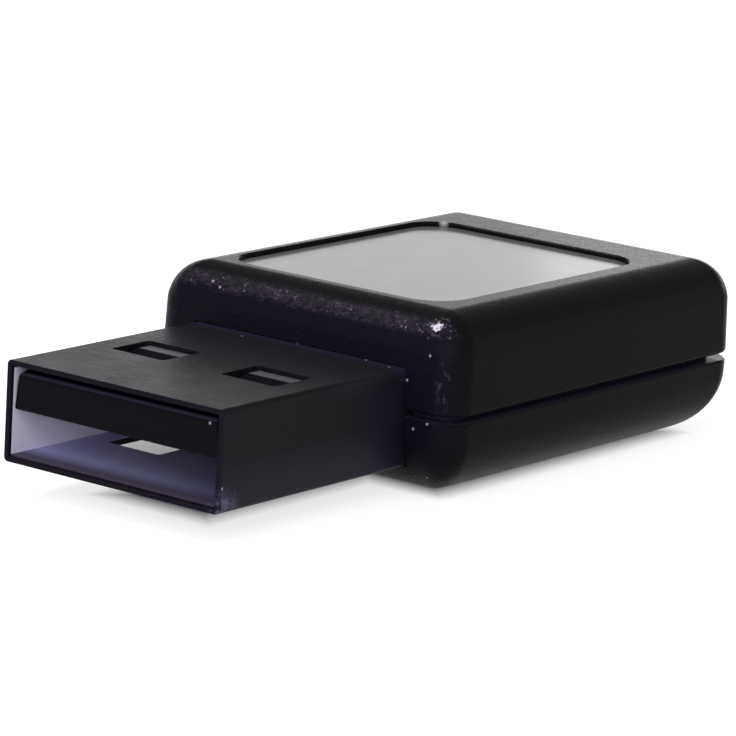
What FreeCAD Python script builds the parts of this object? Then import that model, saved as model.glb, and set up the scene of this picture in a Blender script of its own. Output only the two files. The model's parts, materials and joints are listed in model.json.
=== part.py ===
import FreeCAD, Part
import math
import os

# A smart home radio stick: a black moulded housing in two halves with a standard plug at one end.
# Millimetres, Z up. The housing stands on the plane Z = 0 and the plug points along -X.
# The origin is below the middle of the whole stick, so the plug's mouth is at -X and the rear wall at +X.

Vector = FreeCAD.Vector
X_AXIS = Vector(1, 0, 0)
Y_AXIS = Vector(0, 1, 0)
Z_AXIS = Vector(0, 0, 1)

# Housing, outside
body_length = 22.6
body_width = 17.2
body_height = 8.45
seam_height = 3.89
draft_degrees = 1.5
corner_radius = 1.4
top_edge_radius = 1.9
bottom_edge_radius = 3.1
base_land_height = 0.1
base_land_margin = 0.1
base_land_radius = 0.5

# Housing, inside
wall = 1.4
floor_thickness = 1.2
ceiling_thickness = 1.2
inner_corner_radius = 0.8
inner_edge_cut = 0.6
seam_gap = 0.3
upper_seam_radius = 0.2
lower_seam_cut = 0.08
lip_thickness = 0.6
lip_height = 0.95
lip_root = 0.4
lip_clearance = 0.06
catch_length = 3.0
catch_height = 0.4
catch_depth = 0.22
catch_depth_above = 0.09
catch_clearance = 0.05
catch_spacing = 9.0
rib_thickness = 0.8
stop_width = 1.1

# Label pocket in the top face, and the film that lies in it. The strips are what is left flat round it.
front_strip = 0.38
rear_strip = 2.35
near_strip = 0.8
far_strip = 0.1
pocket_corner_radius = 1.8
pocket_lip = 0.3
pocket_edge_cut = 0.06
film_thickness = 0.15
film_clearance = 0.05

# Plug shell: standard outline, folded from sheet
plug_exposed = 12.4
shell_width = 12.0
shell_height = 4.5
shell_sheet = 0.3
shell_bend_radius = 0.22
shell_inner_radius = 0.06
shell_inside_housing = 2.7
plug_centre_height = 3.65
plug_offset = 0.15
mouth_lead_in = 0.08
mouth_lead_in_depth = 0.2
window_from_mouth = 5.1
window_length = 2.6
window_width = 3.0
window_offset = 3.1
window_corner_radius = 0.2
ear_root = 0.5
ear_length = 2.9
ear_height = 1.5
ear_corner_cut = 0.3
ear_above_board = 0.1
leg_width = 1.0
leg_from_ear_end = 0.3
leg_below_board = 0.5
leg_taper = 0.25
leg_slot_clearance = 0.1
slot_corner_radius = 0.22
plug_clearance = 0.05

# Plug insulator
tongue_side_gap = 0.03
tongue_side_taper = 0.18
tongue_thickness = 1.8
tongue_top_gap = 0.1
tongue_setback = 0.22
tongue_top_radius = 0.42
tongue_bottom_radius = 0.1
block_from_mouth = 9.3
block_past_shell = 0.4
insulator_clearance = 0.05
latch_crest_depth = 0.15
latch_crest_length = 0.9
latch_gap = 0.22
latch_side_gap = 0.25
latch_ramp_gap = 0.2
latch_root = 0.2

# Contacts
contact_width = 1.0
contact_thickness = 0.25
contact_seat_depth = 0.1
contact_nose = 0.12
contact_groove_gap = 0.1
power_from_mouth = 1.3
data_from_mouth = 2.3
power_offset = 3.5
data_offset = 1.0
contact_over_board = 1.9

# Circuit board
board_thickness = 1.0
board_side_clearance = 0.2
board_end_clearance = 0.25
board_corner_radius = 0.8
board_gap_to_insulator = 0.25
post_length = 2.2
post_overlap = 0.8
hold_down_size = 1.0
hold_down_inset = 0.4
hold_down_gap = 0.1

# Places on the board. Parts stand in rows along it, and each row's middle is set in from a side edge.
power_row_inset = 2.1
crystal_row_inset = 2.25
can_edge_gap = 0.6
capacitor_gap = 0.15
bridge_capacitor_spacing = 2.1
inductor_spacing = 1.4
antenna_side_gap = 0.6
antenna_edge_gap = 0.3

# Parts on the board
can_length = 4.6
can_width = 8.0
can_height = 1.9
can_sheet = 0.2
can_corner_radius = 0.5
can_edge_cut = 0.12
can_vent_diameter = 0.7
can_vent_pitch = 2.0
can_relief_length = 2.2
can_relief_height = 0.25
radio_chip_size = 3.8
bridge_chip_size = 3.0
chip_height = 0.85
chip_corner_cut = 0.2
chip_dot_diameter = 0.5
chip_dot_depth = 0.06
crystal_length = 3.2
crystal_width = 2.5
crystal_tray_height = 0.49
crystal_height = 0.7
crystal_rim = 0.2
crystal_radius = 0.35
sot_length = 2.9
sot_width = 1.6
sot_height = 1.1
sot_lead_width = 0.4
sot_lead_pitch = 0.95
sot_lead_root = 0.2
sot_lead_knee = 0.18
sot_lead_ankle = 0.3
sot_lead_reach = 0.6
sot_lead_thickness = 0.15
sot_draft = 0.12
sot_stand_off = 0.08
bulk_size = (3.2, 1.6, 1.5)
bead_size = (2.0, 1.25, 0.9)
small_size = (1.6, 0.8, 0.5)
end_cap_share = 0.22
end_cap_proud = 0.03
antenna_length = 7.0
antenna_width = 1.6
antenna_height = 0.9
antenna_band = 0.8

# How far a cutter runs past what it cuts
past = 1.0
hair = 0.001

# Places along the stick, worked out from the sizes above
total_length = plug_exposed + body_length
mouth_x = -total_length / 2
front_x = mouth_x + plug_exposed
rear_x = front_x + body_length
shell_rear_x = front_x + shell_inside_housing
ear_rear_x = shell_rear_x + ear_length
leg_front_x = ear_rear_x - leg_from_ear_end - leg_width
block_front_x = mouth_x + block_from_mouth
block_rear_x = shell_rear_x + block_past_shell
board_front_x = block_rear_x + board_gap_to_insulator
board_rear_x = rear_x - wall - board_end_clearance
board_half_width = body_width / 2 - wall - board_side_clearance

# Levels above the table
shell_top = plug_centre_height + shell_height / 2
shell_bottom = plug_centre_height - shell_height / 2
tongue_top = shell_top - shell_sheet - tongue_top_gap
tongue_bottom = tongue_top - tongue_thickness
tongue_width = shell_width - 2 * (shell_sheet + tongue_side_gap)
contact_top = tongue_bottom + contact_seat_depth
board_top = contact_top - contact_thickness
board_bottom = board_top - board_thickness
upper_edge = seam_height + seam_gap / 2
lower_edge = seam_height - seam_gap / 2
lip_top = lower_edge + lip_height
floor_level = base_land_height + floor_thickness
pocket_floor = body_height - pocket_lip - film_thickness
ceiling = pocket_floor - ceiling_thickness

# The flat of the top face starts where the drafted wall and its rounding end
draft = math.radians(draft_degrees)
top_taper = (body_height - upper_edge) * math.tan(draft)
top_flat_inset = top_taper + top_edge_radius * math.tan(math.pi / 4 - draft / 2)
pocket_front_x = front_x + top_flat_inset + front_strip
pocket_rear_x = rear_x - top_flat_inset - rear_strip
pocket_near_y = -body_width / 2 + top_flat_inset + near_strip
pocket_far_y = body_width / 2 - top_flat_inset - far_strip

# The land that the stick stands on lies inside the flat of the underside
base_taper = (lower_edge - base_land_height) * math.tan(draft)
base_land_inset = base_taper + bottom_edge_radius * math.tan(math.pi / 4 - draft / 2) + base_land_margin


def block(x0, x1, y0, y1, z0, z1):
    """A plain block between two corners."""
    return Part.makeBox(x1 - x0, y1 - y0, z1 - z0, Vector(x0, y0, z0))


def edges_along(shape, axis):
    """Straight edges of a shape that run along an axis."""
    found = []
    for edge in shape.Edges:
        if edge.Curve.TypeId != "Part::GeomLine":
            continue
        direction = edge.tangentAt(edge.FirstParameter)
        if abs(direction.dot(axis)) > 0.999:
            found.append(edge)
    return found


def edges_at_level(shape, z):
    """Edges that lie wholly at one height."""
    return [e for e in shape.Edges if abs(e.BoundBox.ZMin - z) < hair and abs(e.BoundBox.ZMax - z) < hair]


def beside_middle(shape, offset):
    """The shape moved sideways from the stick's middle plane."""
    shape.translate(Y_AXIS * offset)
    return shape


def rising_edges(shape):
    """Edges whose two ends lie at different heights."""
    return [e for e in shape.Edges if abs(e.firstVertex().Z - e.lastVertex().Z) > hair]


def plate(x0, x1, y0, y1, z0, z1, radius):
    """A block with its four upright edges rounded."""
    body = block(x0, x1, y0, y1, z0, z1)
    return body.makeFillet(radius, edges_along(body, Z_AXIS))


def centred_plate(x, y, length, width, z0, z1, radius):
    """A rounded plate by its middle and its size."""
    return plate(x - length / 2, x + length / 2, y - width / 2, y + width / 2, z0, z1, radius)


def bar_along_x(x0, x1, width, z0, z1, radius):
    """A bar across the middle with its four long edges rounded."""
    body = block(x0, x1, -width / 2, width / 2, z0, z1)
    return body.makeFillet(radius, edges_along(body, X_AXIS))


def tapered_block(x0, x1, half_width, z_wide, z_narrow, taper):
    """A block with four sloping sides, which draw in by the taper from its wide end to its narrow end.

    A wedge tapers along Y, so it is made lying down and then stood up.
    """
    low, high = (0, taper) if z_narrow > z_wide else (taper, 0)
    z0, z1 = sorted((z_wide, z_narrow))
    body = Part.makeWedge(x0 + low, z0, low - half_width, high - half_width, x0 + high,
                          x1 - low, z1, half_width - low, half_width - high, x1 - high)
    body.rotate(Vector(0, 0, 0), X_AXIS, 90)
    return body


def drafted_shell(inset, z_wide, z_narrow, upright_radius, end_radius):
    """A tapering housing block, rounded at its corners and round its narrow end.

    Both halves of the snap housing and both their hollows start from it. The wider rounding goes first,
    so that the narrower one can run up the corner and over it.
    """
    taper = abs(z_narrow - z_wide) * math.tan(draft)
    body = tapered_block(front_x + inset, rear_x - inset, body_width / 2 - inset, z_wide, z_narrow, taper)
    if end_radius > upright_radius:
        body = body.makeFillet(end_radius, edges_at_level(body, z_narrow))
        return body.makeFillet(upright_radius, rising_edges(body))
    body = body.makeFillet(upright_radius, rising_edges(body))
    if end_radius > 0:
        body = body.makeFillet(end_radius, edges_at_level(body, z_narrow))
    return body


def plate_from_inset(inset, z0, z1):
    """The housing's plan moved inwards, as an upright plate."""
    half = body_width / 2 - inset
    radius = max(corner_radius - inset, inner_corner_radius)
    return plate(front_x + inset, rear_x - inset, -half, half, z0, z1, radius)


def plug_opening(clearance):
    """The space that the plug shell takes through the front wall."""
    width = shell_width + 2 * clearance
    opening = bar_along_x(front_x - wall, shell_rear_x + clearance, width, shell_bottom - clearance,
                          shell_top + clearance, shell_bend_radius)
    return beside_middle(opening, plug_offset)


def catches(grow):
    """Snap wedges along both long lips. They are grown by a clearance to cut their pockets."""
    middle_x = (front_x + rear_x) / 2
    face = body_width / 2 - wall + lip_thickness
    z0 = (lower_edge + lip_top - catch_height) / 2 + seam_gap / 2
    solids = []
    for side in (-1, 1):
        for end in (-1, 1):
            x = middle_x + end * catch_spacing / 2
            points = [
                Vector(0, 0, z0 - grow),
                Vector(0, side * (catch_depth + grow), z0 - grow),
                Vector(0, side * (catch_depth_above + grow), z0 + catch_height + grow),
                Vector(0, 0, z0 + catch_height + grow),
            ]
            length = catch_length + 2 * grow
            wedge = Part.Face(Part.makePolygon(points + points[:1])).extrude(Vector(length, 0, 0))
            wedge.translate(Vector(x - length / 2, side * face, 0))
            solids.append(wedge)
    return solids


def board_corner(sign_x, sign_y, inset):
    """A point inside a corner of the circuit board."""
    x = board_rear_x - inset if sign_x > 0 else board_front_x + inset
    return x, sign_y * (board_half_width - inset)


def pocket_plate(gap, z1):
    """A plate on the pocket's floor, smaller all round than the pocket by a gap."""
    return plate(pocket_front_x + gap, pocket_rear_x - gap, pocket_near_y + gap, pocket_far_y - gap,
                 pocket_floor, z1, pocket_corner_radius - gap)


def upper_cover():
    """Upper half: a drafted shell with the pocket, a rebate for the lip, and ribs that hold the rest."""
    cover = drafted_shell(0, upper_edge, body_height, corner_radius, top_edge_radius)
    cover = cover.makeFillet(upper_seam_radius, edges_at_level(cover, upper_edge))
    cavity = drafted_shell(wall, upper_edge - hair, ceiling, inner_corner_radius, 0)
    cover = cover.cut(cavity)
    rebate = plate_from_inset(wall - lip_thickness - lip_clearance, upper_edge - past, lip_top)
    cover = cover.cut(rebate)
    cover = cover.cut(pocket_plate(0, body_height + past))
    cover = cover.makeChamfer(pocket_edge_cut, pocket_rim(cover))
    cover = cover.fuse(upper_ribs())
    cover = cover.cut(plug_opening(plug_clearance))
    for pocket in catches(catch_clearance):
        cover = cover.cut(pocket)
    return cover.removeSplitter()


def pocket_rim(cover):
    """The edges of the pocket's rim, without those of the housing's top face."""
    found = []
    for edge in edges_at_level(cover, body_height):
        box = edge.BoundBox
        inside_x = box.XMin > pocket_front_x - hair and box.XMax < pocket_rear_x + hair
        inside_y = box.YMin > pocket_near_y - hair and box.YMax < pocket_far_y + hair
        if inside_x and inside_y:
            found.append(edge)
    return found


def upper_ribs():
    """A rib over the plug shell, two stops behind it, and fingers over the board's rear corners."""
    roof = ceiling + ceiling_thickness / 2
    half_plug = shell_width / 2
    clamp_y0, clamp_y1 = plug_offset - half_plug / 2, plug_offset + half_plug / 2
    ribs = block(front_x + wall / 2, shell_rear_x - rib_thickness, clamp_y0, clamp_y1, shell_top, roof)
    for side in (-1, 1):
        stop_y = plug_offset + side * (half_plug - 1.5 * stop_width)
        stop_x = shell_rear_x + plug_clearance
        ribs = ribs.fuse(block(stop_x, stop_x + rib_thickness, stop_y - stop_width / 2,
                               stop_y + stop_width / 2, shell_top - shell_sheet, roof))
        x, y = board_corner(1, side, hold_down_inset + hold_down_size / 2)
        half = hold_down_size / 2
        ribs = ribs.fuse(block(x - half, x + half, y - half, y + half, board_top + hold_down_gap, roof))
    return ribs


def lower_cover():
    """Lower half: a drafted tray on a flat land, with a lip, board posts and a seat for the plug."""
    outside = drafted_shell(0, lower_edge, base_land_height, corner_radius, bottom_edge_radius)
    outside = outside.makeChamfer(lower_seam_cut, edges_at_level(outside, lower_edge))
    outside = outside.fuse(base_land())
    cavity = drafted_shell(wall, lip_top + hair, floor_level, inner_corner_radius, 0)
    cavity = cavity.makeChamfer(inner_edge_cut, edges_at_level(cavity, floor_level))
    tray = outside.fuse(plate_from_inset(wall - lip_thickness, lower_edge - lip_root, lip_top))
    tray = tray.cut(cavity)
    tray = tray.fuse(lower_posts().common(outside))
    for catch in catches(0):
        tray = tray.fuse(catch)
    tray = tray.cut(plug_opening(plug_clearance))
    return tray.removeSplitter()


def base_land():
    """The slightly raised flat that the stick stands on."""
    half = body_width / 2 - base_land_inset
    return plate(front_x + base_land_inset, rear_x - base_land_inset, -half, half, 0,
                 base_land_height + floor_thickness / 2, base_land_radius)


def lower_posts():
    """Corner posts under the board, a seat under the plug shell and two stops behind it."""
    z0 = floor_level - floor_thickness / 2
    quarter = shell_width / 4
    posts = block(front_x + wall / 2, shell_rear_x - rib_thickness, plug_offset - quarter,
                  plug_offset + quarter, z0, shell_bottom)
    stop_x = shell_rear_x + plug_clearance
    for side in (-1, 1):
        stop_y = plug_offset + side * quarter
        posts = posts.fuse(block(stop_x, stop_x + rib_thickness / 2, stop_y - stop_width,
                                 stop_y + stop_width, z0, shell_bottom + shell_sheet))
        for end in (-1, 1):
            x, y = board_corner(end, side, 0)
            x_outer = x + end * board_end_clearance
            y_outer = y + side * (board_side_clearance + wall / 4)
            x0, x1 = sorted((x_outer, x_outer - end * post_length))
            y0, y1 = sorted((y_outer, y - side * post_overlap))
            posts = posts.fuse(block(x0, x1, y0, y1, z0, board_bottom))
    return posts


def label_film():
    """The blank film on the pocket's floor."""
    return pocket_plate(film_clearance, pocket_floor + film_thickness)


def plug_windows():
    """The four windows of the shell, two above and two below."""
    x = mouth_x + window_from_mouth + window_length / 2
    cutters = []
    for side in (-1, 1):
        for level in (shell_bottom + shell_sheet / 2, shell_top - shell_sheet / 2):
            cutters.append(centred_plate(x, side * window_offset, window_length, window_width,
                                         level - shell_sheet, level + shell_sheet, window_corner_radius))
    return cutters


def mouth_cutter():
    """A flare that opens the sheet's inner edge at the mouth."""
    wires = []
    for x, grow in ((mouth_x, mouth_lead_in), (mouth_x + mouth_lead_in_depth, 0)):
        half_y = shell_width / 2 - shell_sheet + grow
        half_z = shell_height / 2 - shell_sheet + grow
        corners = [
            Vector(x, -half_y, plug_centre_height - half_z),
            Vector(x, half_y, plug_centre_height - half_z),
            Vector(x, half_y, plug_centre_height + half_z),
            Vector(x, -half_y, plug_centre_height + half_z),
        ]
        wires.append(Part.makePolygon(corners + corners[:1]))
    return Part.makeLoft(wires, True, True)


def ear(side):
    """A side ear of the shell with its soldered leg, cut from the same sheet."""
    leg_rear_x = leg_front_x + leg_width
    ear_bottom = board_top + ear_above_board
    ear_top = ear_bottom + ear_height
    tip = board_bottom - leg_below_board
    points = [
        Vector(shell_rear_x - ear_root, 0, ear_bottom),
        Vector(leg_front_x, 0, ear_bottom),
        Vector(leg_front_x, 0, tip + leg_taper),
        Vector(leg_front_x + leg_taper, 0, tip),
        Vector(leg_rear_x - leg_taper, 0, tip),
        Vector(leg_rear_x, 0, tip + leg_taper),
        Vector(leg_rear_x, 0, ear_bottom),
        Vector(ear_rear_x, 0, ear_bottom + ear_corner_cut),
        Vector(ear_rear_x, 0, ear_top),
        Vector(shell_rear_x - ear_root, 0, ear_top),
    ]
    sheet = Part.Face(Part.makePolygon(points + points[:1])).extrude(Vector(0, shell_sheet, 0))
    y = shell_width / 2 - shell_sheet if side > 0 else -shell_width / 2
    sheet.translate(Vector(0, y, 0))
    return sheet


def plug_shell():
    """The plug's jacket, folded from sheet, with windows, a flared mouth and two ears."""
    outer = bar_along_x(mouth_x, shell_rear_x, shell_width, shell_bottom, shell_top, shell_bend_radius)
    inner = bar_along_x(mouth_x - past, shell_rear_x + past, shell_width - 2 * shell_sheet,
                        shell_bottom + shell_sheet, shell_top - shell_sheet, shell_inner_radius)
    jacket = outer.cut(inner)
    jacket = jacket.cut(mouth_cutter())
    for window in plug_windows():
        jacket = jacket.cut(window)
    for side in (-1, 1):
        jacket = jacket.fuse(ear(side))
    return beside_middle(jacket.removeSplitter(), plug_offset)


def latch_wedge(side):
    """A snap wedge of the insulator, standing in an upper window."""
    rear = mouth_x + window_from_mouth + window_length - latch_gap
    crest = rear - latch_crest_length
    start = mouth_x + window_from_mouth + latch_ramp_gap
    half = window_width / 2 - latch_side_gap
    root = tongue_top - latch_root
    points = [
        Vector(start, -half, root),
        Vector(start, -half, tongue_top),
        Vector(crest, -half, shell_top - latch_crest_depth),
        Vector(rear, -half, shell_top - latch_crest_depth),
        Vector(rear, -half, root),
    ]
    wedge = Part.Face(Part.makePolygon(points + points[:1])).extrude(Vector(0, 2 * half, 0))
    wedge.translate(Vector(0, side * window_offset, 0))
    return wedge


def contact_rows():
    """Side place and nose place of the four contacts, from the +Y side to the -Y side."""
    return (
        ("contact_power", power_offset, power_from_mouth),
        ("contact_data_minus", data_offset, data_from_mouth),
        ("contact_data_plus", -data_offset, data_from_mouth),
        ("contact_ground", -power_offset, power_from_mouth),
    )


def contact(offset, from_mouth):
    """One flat contact with a lifted nose, from the tongue through the block to the board."""
    x0 = mouth_x + from_mouth
    x1 = board_front_x + contact_over_board
    bar = block(x0, x1, offset - contact_width / 2, offset + contact_width / 2,
                contact_top - contact_thickness, contact_top)
    front = [e for e in edges_along(bar, Y_AXIS) if e.BoundBox.XMax < x0 + hair]
    nose = [e for e in front if e.BoundBox.ZMax < contact_top - hair]
    return beside_middle(bar.makeFillet(contact_nose, nose), plug_offset)


def tongue_bar(x0, x1):
    """The tongue: a little narrower above than below, with its three free upper edges rounded."""
    low = tongue_width / 2
    high = low - tongue_side_taper
    outline = [Vector(x0, -low, tongue_bottom), Vector(x0, low, tongue_bottom),
               Vector(x0, high, tongue_top), Vector(x0, -high, tongue_top)]
    bar = Part.Face(Part.makePolygon(outline + outline[:1])).extrude(Vector(x1 - x0, 0, 0))
    for level, radius in ((tongue_top, tongue_top_radius), (tongue_bottom, tongue_bottom_radius)):
        rim = [e for e in edges_at_level(bar, level) if e.BoundBox.XMin < x1 - hair]
        bar = bar.makeFillet(radius, rim)
    return bar


def plug_insulator():
    """Moulded tongue and rear block in one, grooved for the contacts, with two latch wedges."""
    tongue = tongue_bar(mouth_x + tongue_setback, block_front_x + past)
    margin = shell_sheet + insulator_clearance
    rear_block = bar_along_x(block_front_x, block_rear_x, shell_width - 2 * margin, shell_bottom + margin,
                             shell_top - margin, shell_inner_radius)
    body = tongue.fuse(rear_block)
    for side in (-1, 1):
        body = body.fuse(latch_wedge(side))
    body = body.removeSplitter()
    for name, offset, from_mouth in contact_rows():
        groove = block(mouth_x + from_mouth - contact_groove_gap, block_rear_x + past,
                       offset - contact_width / 2, offset + contact_width / 2,
                       contact_top - contact_thickness, contact_top)
        body = body.cut(groove)
    return beside_middle(body, plug_offset)


def circuit_board():
    """The board: rounded corners and two slots for the legs of the shell."""
    board = plate(board_front_x, board_rear_x, -board_half_width, board_half_width,
                  board_bottom, board_top, board_corner_radius)
    gap = leg_slot_clearance
    for side in (-1, 1):
        y = plug_offset + side * (shell_width - shell_sheet) / 2
        slot = centred_plate(leg_front_x + leg_width / 2, y, leg_width + 2 * gap, shell_sheet + 2 * gap,
                             board_bottom - past, board_top + past, slot_corner_radius)
        board = board.cut(slot)
    return board


def shield_can(x, y):
    """A drawn can over the radio: folded walls on short feet and a pattern of vent holes."""
    z0 = board_top
    outer = centred_plate(x, y, can_length, can_width, z0, z0 + can_height, can_corner_radius)
    outer = outer.makeChamfer(can_edge_cut, edges_at_level(outer, z0 + can_height))
    inner = centred_plate(x, y, can_length - 2 * can_sheet, can_width - 2 * can_sheet,
                          z0 - past, z0 + can_height - can_sheet, can_corner_radius - can_sheet)
    can = outer.cut(inner)
    for side_x in (-1, 1):
        for side_y in (-1, 1):
            vent_x = x + side_x * can_vent_pitch / 2
            vent_y = y + side_y * can_vent_pitch / 2
            centre = Vector(vent_x, vent_y, z0 + can_height - 2 * can_sheet)
            can = can.cut(Part.makeCylinder(can_vent_diameter / 2, 3 * can_sheet, centre))
    half = can_relief_length / 2
    reach = can_width / 2 + past
    return can.cut(block(x - half, x + half, y - reach, y + reach, z0 - past, z0 + can_relief_height))


def flat_chip(x, y, size):
    """A leadless square chip with one cut corner and a shallow mark for its first pad."""
    z0 = board_top
    chip = block(x - size / 2, x + size / 2, y - size / 2, y + size / 2, z0, z0 + chip_height)
    marked = [e for e in edges_along(chip, Z_AXIS) if e.BoundBox.XMax < x and e.BoundBox.YMax < y]
    chip = chip.makeChamfer(chip_corner_cut, marked)
    inset = size / 2 - chip_dot_diameter * 1.5
    dot_centre = Vector(x - inset, y - inset, z0 + chip_height - chip_dot_depth)
    return chip.cut(Part.makeCylinder(chip_dot_diameter / 2, past, dot_centre))


def crystal(x, y):
    """A metal-lidded crystal: ceramic tray with a raised rounded lid."""
    z0 = board_top
    step = crystal_tray_height
    tray = centred_plate(x, y, crystal_length, crystal_width, z0, z0 + step, crystal_radius)
    lid = centred_plate(x, y, crystal_length - 2 * crystal_rim, crystal_width - 2 * crystal_rim,
                        z0 + step, z0 + crystal_height, crystal_radius)
    return tray.fuse(lid)


def gull_lead(side):
    """One bent lead, with its knee and its flat foot, beside a moulded body at the origin."""
    z_exit = sot_height / 2
    thick = sot_lead_thickness
    root = sot_width / 2 - sot_lead_root
    knee = sot_width / 2 + sot_lead_knee
    ankle = sot_width / 2 + sot_lead_ankle
    toe = sot_width / 2 + sot_lead_reach
    profile = [
        Vector(0, root, z_exit + thick / 2),
        Vector(0, knee, z_exit + thick / 2),
        Vector(0, ankle, thick),
        Vector(0, toe, thick),
        Vector(0, toe, 0),
        Vector(0, ankle - thick, 0),
        Vector(0, knee - thick, z_exit - thick / 2),
        Vector(0, root, z_exit - thick / 2),
    ]
    mirrored = [Vector(0, side * p.y, p.z) for p in profile]
    face = Part.Face(Part.makePolygon(mirrored + mirrored[:1]))
    lead = face.extrude(Vector(sot_lead_width, 0, 0))
    lead.translate(Vector(-sot_lead_width / 2, 0, 0))
    return lead


def leaded_chip(x, y, top_leads, bottom_leads):
    """A small moulded chip with bent leads along both sides."""
    half_l = sot_length / 2
    half_w = sot_width / 2
    levels = ((sot_stand_off, sot_draft), (sot_height / 2, 0), (sot_height, sot_draft))
    wires = []
    for z, inset in levels:
        corners = [
            Vector(-half_l + inset, -half_w + inset, z),
            Vector(half_l - inset, -half_w + inset, z),
            Vector(half_l - inset, half_w - inset, z),
            Vector(-half_l + inset, half_w - inset, z),
        ]
        wires.append(Part.makePolygon(corners + corners[:1]))
    chip = Part.makeLoft(wires[:2], True, True).fuse(Part.makeLoft(wires[1:], True, True))
    for side, steps in ((1, top_leads), (-1, bottom_leads)):
        for step in steps:
            lead = gull_lead(side)
            lead.translate(Vector(step * sot_lead_pitch, 0, 0))
            chip = chip.fuse(lead)
    chip = chip.removeSplitter()
    chip.translate(Vector(x, y, board_top))
    return chip


def end_capped(x, y, size, turned):
    """A two-ended part: a plain body between two metal end caps."""
    length, width, height = size
    cap = length * end_cap_share
    proud = end_cap_proud
    body = block(-length / 2 + cap / 2, length / 2 - cap / 2, -width / 2 + proud, width / 2 - proud,
                 proud, height - proud)
    for end in (-1, 1):
        x0, x1 = sorted((end * length / 2, end * (length / 2 - cap)))
        body = body.fuse(block(x0, x1, -width / 2, width / 2, 0, height))
    if turned:
        body.rotate(Vector(0, 0, 0), Z_AXIS, 90)
    body.translate(Vector(x, y, board_top))
    return body


def chip_antenna(x, y):
    """A ceramic antenna block that lies across the board, with a metal band at each end."""
    half = antenna_length / 2
    band = antenna_band
    inset = antenna_width / 2 - end_cap_proud
    body = block(x - inset, x + inset, y - half + band / 2, y + half - band / 2,
                 board_top + end_cap_proud, board_top + antenna_height - end_cap_proud)
    for end in (-1, 1):
        y0, y1 = sorted((y + end * half, y + end * (half - band)))
        body = body.fuse(block(x - antenna_width / 2, x + antenna_width / 2, y0, y1,
                               board_top, board_top + antenna_height))
    return body


def spread(x0, x1, lengths):
    """The middles of parts that stand in a row between two places, with equal gaps."""
    gap = (x1 - x0 - sum(lengths)) / (len(lengths) + 1)
    middles = []
    for length in lengths:
        x0 += gap
        middles.append(x0 + length / 2)
        x0 += length
    return middles


def board_parts():
    """Everything that is soldered to the board: a middle row, a power row and a crystal row."""
    small_length, small_width = small_size[0], small_size[1]
    antenna_x = board_rear_x - antenna_edge_gap - antenna_width / 2
    antenna_front_x = antenna_x - antenna_width / 2
    guard_x, resistors_x, bridge_x, can_x = spread(
        board_front_x + contact_over_board, antenna_front_x,
        (sot_length, small_width, bridge_chip_size, can_length))
    bulk_x, regulator_x = spread(ear_rear_x, can_x - can_length / 2, (bulk_size[0], sot_length))
    bead_x, bridge_crystal_x, radio_crystal_x, inductors_x = spread(
        ear_rear_x, antenna_front_x, (bead_size[0], crystal_length, crystal_length, small_length))
    power_y = power_row_inset - board_half_width
    crystal_y = board_half_width - crystal_row_inset
    can_y = can_edge_gap + can_width / 2 - board_half_width
    finger_y = board_half_width - hold_down_inset - hold_down_size
    antenna_y = finger_y - antenna_side_gap - antenna_length / 2
    capacitor_y = crystal_y - crystal_width / 2 - capacitor_gap - small_width / 2
    parts = {
        "surge_guard": leaded_chip(guard_x, plug_offset, (-1, 0, 1), (-1, 0, 1)),
        "bulk_capacitor": end_capped(bulk_x, power_y, bulk_size, False),
        "ferrite_bead": end_capped(bead_x, crystal_y, bead_size, False),
        "voltage_regulator": leaded_chip(regulator_x, power_y, (-1, 1), (-1, 0, 1)),
        "bridge_chip": flat_chip(bridge_x, plug_offset, bridge_chip_size),
        "bridge_crystal": crystal(bridge_crystal_x, crystal_y),
        "shield_can": shield_can(can_x, can_y),
        "radio_chip": flat_chip(can_x, can_y, radio_chip_size),
        "radio_crystal": crystal(radio_crystal_x, crystal_y),
        "chip_antenna": chip_antenna(antenna_x, antenna_y),
    }
    capacitor_places = (
        (guard_x, -capacitor_y),
        (guard_x, capacitor_y),
        (bridge_x - bridge_capacitor_spacing / 2, capacitor_y),
        (bridge_x + bridge_capacitor_spacing / 2, capacitor_y),
    )
    for index, (x, y) in enumerate(capacitor_places):
        parts["decoupling_capacitor_" + str(index + 1)] = end_capped(x, y, small_size, False)
    for index, side in enumerate((-1, 1)):
        resistor_y = plug_offset + side * data_offset
        inductor_y = crystal_y + side * inductor_spacing / 2
        number = str(index + 1)
        parts["series_resistor_" + number] = end_capped(resistors_x, resistor_y, small_size, True)
        parts["matching_inductor_" + number] = end_capped(inductors_x, inductor_y, small_size, False)
    return parts


def export(name, shape):
    """Write one piece, which has to be one closed solid, and print its volume."""
    (solid,) = shape.Solids
    solid.exportStep("parts/" + name + ".step")
    print(name, round(solid.Volume, 3), "mm3")


def main():
    os.makedirs("parts", exist_ok=True)
    pieces = {
        "upper_cover": upper_cover(),
        "lower_cover": lower_cover(),
        "label_film": label_film(),
        "plug_shell": plug_shell(),
        "plug_insulator": plug_insulator(),
        "circuit_board": circuit_board(),
    }
    for name, offset, from_mouth in contact_rows():
        pieces[name] = contact(offset, from_mouth)
    pieces.update(board_parts())
    for name, shape in pieces.items():
        export(name, shape)


main()
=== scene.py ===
# %% [markdown]
# # A smart home radio stick
# A black radio stick, 35 mm long, lies on a white table. Two thirds of it are a moulded housing
# with a blank label pocket, and one third is a dark metal plug. The shapes come from the frame,
# one node for each physical piece. This lesson gives those pieces soft shading, real finishes and
# studio light.

import json
import math

import bpy
from mathutils import Matrix, Vector


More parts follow.
